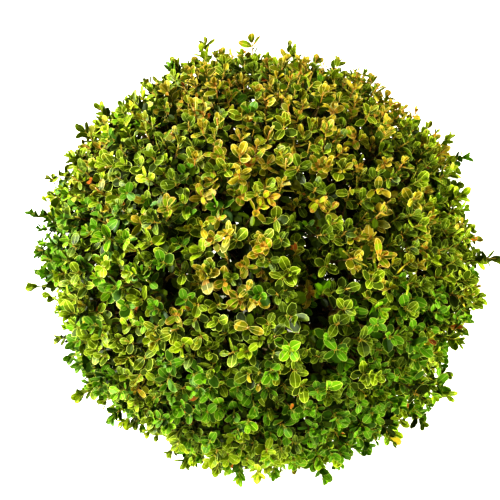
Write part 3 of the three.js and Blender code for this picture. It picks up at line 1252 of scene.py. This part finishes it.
# %% The list of leaves
rows = []
upright = np.where(kind == PROUD_KIND, PROUD_UPRIGHT, 1)
slender = 1 - DRY_NARROWER * dryness.clip(0, 1)
for pair in range(PAIRS):
    distance = PAIR_GAPS[pair] * shoot_size * rng.uniform(0.9, 1.1, SHOOT_COUNT)
    distance *= np.where(kind == PROUD_KIND, PROUD_CLOSE, 1)
    points, ahead = point_on_shoot(distance)
    ref = square_to(ahead)
    ref2 = np.cross(ahead, ref)
    for half in range(2):
        turn = shoot_turn + pair * math.pi / 2 + half * math.pi
        turn = turn + rng.normal(0, 0.16, SHOOT_COUNT)
        out = turned(ref, ref2, turn)
        pitch = PAIR_PITCH[pair] * upright + rng.normal(0, 0.26, SHOOT_COUNT)
        axis = turned(ahead, out, pitch)
        face_up = turned(-out, ahead, pitch)
        across = np.cross(face_up, axis)
        roll = rng.normal(0, 0.44, SHOOT_COUNT)
        side = turned(across, face_up, roll)
        up = np.cross(axis, side)
        present = grown(pair)
        blade = tinted(pair)
        size = LEAF_LENGTH * PAIR_SIZE[pair] * shoot_size * rng.normal(1, 0.1, SHOOT_COUNT)
        droop = np.minimum(axis[:, 2], 0) - 0.5 * LEAF_WIDTH * np.abs(side[:, 2])
        present &= points[:, 2] + droop * size > GROUND_GAP
        weights = YOUNG_FORMS if pair < 2 else OLD_FORMS
        rows.append(
            {
                "shoot": np.arange(SHOOT_COUNT)[present],
                "pair": np.full(present.sum(), pair),
                "root": points[present] + out[present] * STALK_OUT,
                "axis": axis[present],
                "side": side[present],
                "up": up[present],
                "size": size[present].clip(LEAST_LEAF, LONGEST_LEAF),
                "width": (rng.normal(1.0, 0.14, present.sum()) * slender[present]).clip(0.64, 1.28),
                "blade": blade[present],
                "form": rng.choice(len(FORMS), present.sum(), p=weights),
            }
        )
leaves = {k: np.concatenate([r[k] for r in rows]) for k in rows[0]}
leaf_kind = kind[leaves["shoot"]]
# how hidden a leaf is: its pair from the tip, and more on deep and shade shoots
leaf_depth = leaves["pair"] + 3 * (leaf_kind == DEEP_KIND) + 6 * (leaf_kind == SHADE_KIND)
print(len(leaves["size"]), "leaves")

# %% Finishes of each leaf
DARK_HEEL_SHARE = 0.6
GOLD_HEEL_SHARE = 0.4
leaf_family = family[leaves["shoot"]]
leaf_tip = np.where(
    leaves["blade"] == family_blades[leaf_family, leaves["pair"]],
    family_tips[leaf_family],
    leaves["blade"],
)
leaf_tip = np.where(leaves["pair"] > 2, leaves["blade"], leaf_tip)
dark_heel = rng.random(len(leaf_tip)) < DARK_HEEL_SHARE
leaf_heel = np.where(dark_heel, darker[leaves["blade"]], leaves["blade"])
dry_families = [FAMILY_NAMES.index(n) for n in ("tinged", "khaki", "yellow", "gold")]
gold_heel = np.isin(leaf_family, dry_families) & (leaves["pair"] < 3)
gold_heel &= rng.random(len(leaf_tip)) < GOLD_HEEL_SHARE
leaf_heel[gold_heel] = BLADE_NAMES.index("gold")
leaf_rim = family_rims[leaf_family]
leaf_stalk = np.full(len(leaf_rim), len(BLADES) + RIM_NAMES.index("stalk"))

# %% Leaf pieces
SECTORS = 5
LEFT_HALF = (110, 290)  # degrees round the ball
UNDERSIDE = -0.5  # headings lower than this are seen only from below


def leaf_piece(name, chosen, detail):
    """The chosen leaves as one mesh, each a bent copy of a pattern leaf."""
    groups = []
    for form, (points, triangles, zone) in enumerate(leaf_forms[detail]):
        rows_here = np.nonzero(chosen & (leaves["form"] == form))[0]
        if not len(rows_here):
            continue
        own = {k: values[rows_here] for k, values in leaves.items()}
        size = own["size"][:, None, None]
        width = own["width"][:, None, None]
        copies = own["root"][:, None] + size * (
            points[None, :, 0:1] * own["axis"][:, None]
            + points[None, :, 1:2] * width * own["side"][:, None]
            + points[None, :, 2:3] * own["up"][:, None]
        )
        dealt = np.stack([leaves["blade"], leaf_rim, leaf_rim, leaf_tip, leaf_stalk, leaf_heel])
        groups.append((copies, triangles, dealt[:, rows_here][zone].T.ravel()))
    return array_mesh(name, groups, leaf_materials)


across, ahead = shoots["heading"][leaves["shoot"], :2].T
azimuth = np.degrees(np.arctan2(ahead, across)) % 360
underside = shoots["heading"][leaves["shoot"], 2] < UNDERSIDE
fine = ((leaf_depth == 1) | (leaf_depth == 2)) & ~underside
plain = (leaf_depth == 0) | (leaf_depth == 3) | (underside & (leaf_depth < 3))
left = (azimuth > LEFT_HALF[0]) & (azimuth < LEFT_HALF[1])
pieces = []
for number in range(SECTORS):
    here = (azimuth >= 360 * number / SECTORS) & (azimuth < 360 * (number + 1) / SECTORS)
    pieces.append(leaf_piece(f"leaves_face_{number + 1}", fine & here, "fine"))
pieces.append(leaf_piece("leaves_second_left", plain & left, "plain"))
pieces.append(leaf_piece("leaves_second_right", plain & ~left, "plain"))
pieces.append(leaf_piece("leaves_inner", ~fine & ~plain, "hidden"))

# %% Shoot stems
FRESH_CUT_SHARE = 0.14  # of the cut shoots show pale new wood
CUT_SWELL = 1.7
shoot_radii = np.linspace(1.15, 0.58, SHOOT_POINTS)[None] * MM * shoot_size[:, None] ** 0.5
fresh_cut = cut & (rng.random(SHOOT_COUNT) < FRESH_CUT_SHARE)
shoot_radii[:, -1] *= np.where(fresh_cut, CUT_SWELL, 1)
shoot_finish = np.where(dryness > 0.0, GOLD_BARK, GREEN_BARK)
shoot_finish[dryness > 0.75] = ORANGE_BARK
pieces.append(
    limb_mesh(
        "shoots",
        shoot_lines,
        shoot_radii,
        3,
        shoot_bark,
        shoot_finish,
        old_steps=3,
        ends=np.where(fresh_cut, CUT_WOOD, shoot_finish),
    )
)

# %% Hand the pieces to the frame
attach(stem, "root")
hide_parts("stem")
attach(boughs, "root")
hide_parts(*BOUGHS)
for piece in (bough_tops, branches, twigs):
    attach(piece, "root")
    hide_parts("foliage_ball")
for piece in pieces:
    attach(piece, "root")
    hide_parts("foliage_ball")
print(len(pieces) + 5, "pieces handed over")
